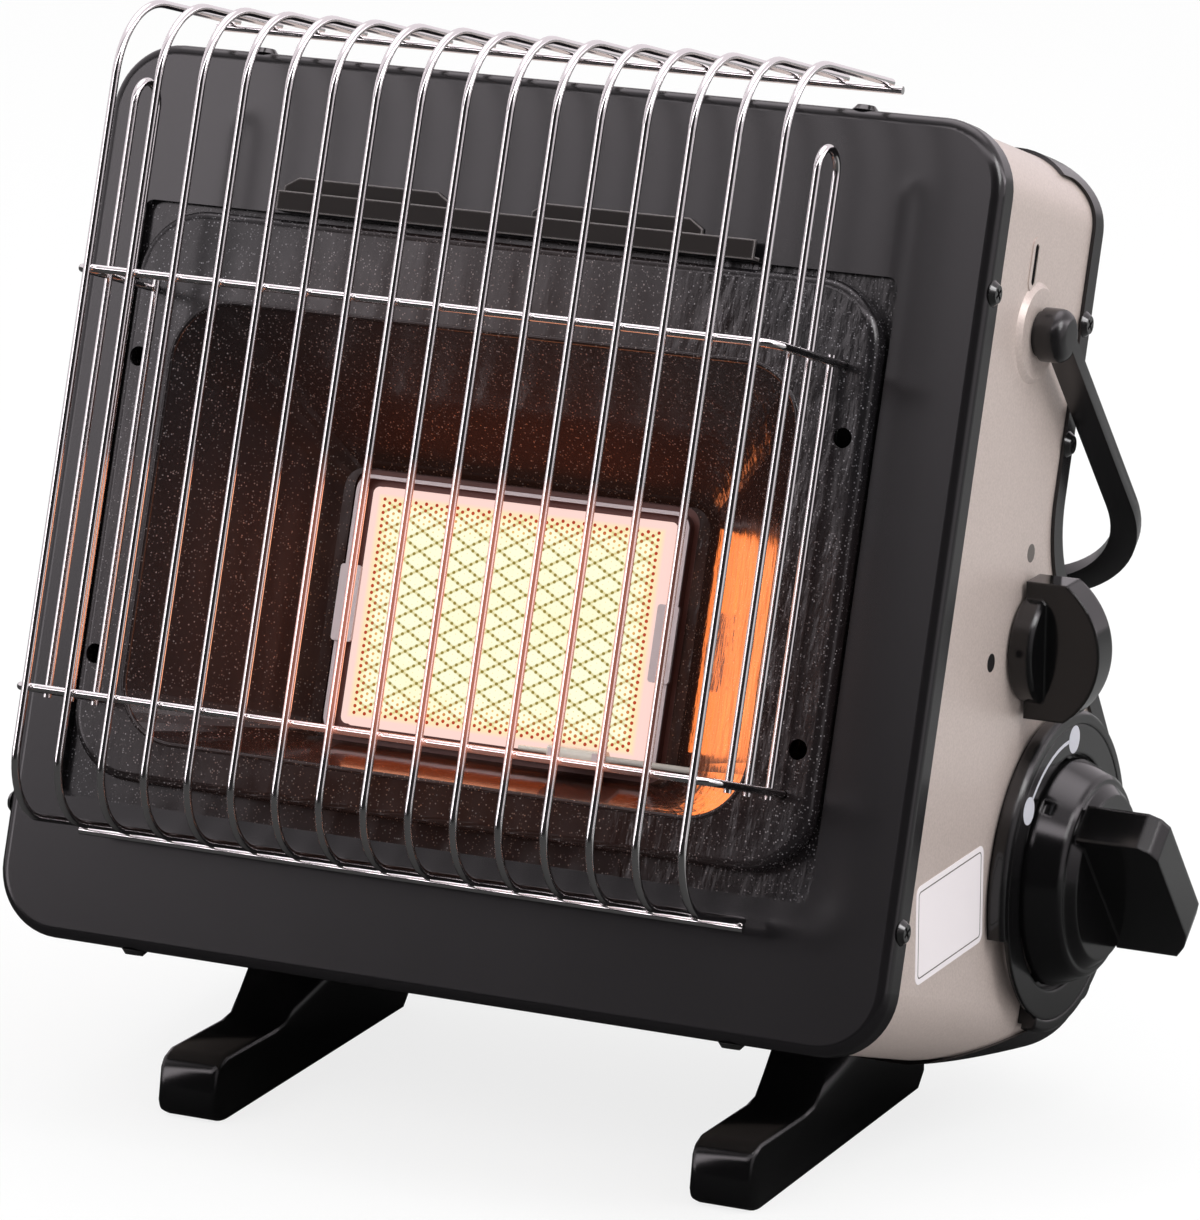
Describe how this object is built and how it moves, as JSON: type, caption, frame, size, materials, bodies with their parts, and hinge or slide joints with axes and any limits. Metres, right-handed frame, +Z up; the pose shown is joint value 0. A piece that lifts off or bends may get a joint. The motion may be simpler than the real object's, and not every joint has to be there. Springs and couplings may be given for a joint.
{
  "type": "portable gas heater",
  "caption": "Tilted table-top radiant gas heater: steel case on two feet, ceramic burner in an enamelled dish behind a wire guard, turning knobs, swinging handle and rear cartridge door.",
  "frame": {"origin": "centre of the overall box on the rest plane under the feet", "axes": "+Z up, -Y is the front that heats, +X is the side with the two knobs"},
  "size_m": [0.3108, 0.2182, 0.3038],
  "materials": {
    "case_black": "satin",
    "case_beige": "satin metallic",
    "enamel": "gloss, speckled",
    "burner_steel": "satin",
    "plaque": "matt, glowing",
    "fibre": "matt",
    "brass": "satin",
    "porcelain": "gloss",
    "lead": "matt",
    "inner_plastic": "matt",
    "plated_steel": "satin",
    "die_cast": "matt",
    "guard_chrome": "polished",
    "black_plastic": "gloss",
    "screw_black": "satin",
    "handle_black": "satin"
  },
  "bodies": {
    "case": {"front_panel": "case_black", "housing": "case_beige", "rear_cover": "case_black", "reflector": "enamel", "deflector": "case_black", "burner_frame": "burner_steel", "ceramic_plaque": "plaque", "plaque_gasket": "fibre", "burner_box": "burner_steel", "mixing_tube": "burner_steel", "injector": "brass", "gas_pipe": "brass", "electrode": "porcelain", "electrode_bracket": "burner_steel", "igniter_lead": "lead", "piezo_igniter": "inner_plastic", "valve_bracket": "plated_steel", "valve_body": "die_cast", "cartridge_receiver": "brass", "cartridge_cradle": "plated_steel", "heat_shield": "plated_steel", "guard_bars": "guard_chrome", "guard_foot_bar": "guard_chrome", "guard_top_rod": "guard_chrome", "guard_cross_wires": "guard_chrome", "mode_valve": "brass", "guard_side_wires": "guard_chrome", "dial_plate": "black_plastic", "foot_left": "black_plastic", "foot_right": "black_plastic", "foot_screws": "plated_steel", "panel_screws": "screw_black", "rear_screws": "screw_black", "burner_screws": "plated_steel", "handle_pivots": "plated_steel", "door_hinge_pin": "plated_steel"},
    "handle": {"handle": "handle_black"},
    "gas_control": {"gas_knob": "black_plastic", "valve_spindle": "brass"},
    "mode_control": {"mode_knob": "black_plastic", "mode_spindle": "brass"},
    "door": {"cartridge_door": "case_black"}
  },
  "joints": [
    {"name": "handle_swing", "type": "hinge", "parent": "case", "child": "handle", "pos_m": [-0.01405, 0.02794, 0.22489], "axis": [1, 0, 0], "range_deg": [0, 140]},
    {"name": "gas_turn", "type": "hinge", "parent": "case", "child": "gas_control", "pos_m": [0.13595, 0.04358, 0.07246], "axis": [-1, 0, 0], "range_deg": [0, 59]},
    {"name": "mode_turn", "type": "hinge", "parent": "case", "child": "mode_control", "pos_m": [0.12595, 0.0263, 0.1399], "axis": [1, 0, 0], "range_deg": [0, 90]},
    {"name": "door_swing", "type": "hinge", "parent": "case", "child": "door", "pos_m": [-0.03605, 0.05828, 0.0293], "axis": [-1, 0, 0], "range_deg": [0, 68]}
  ]
}
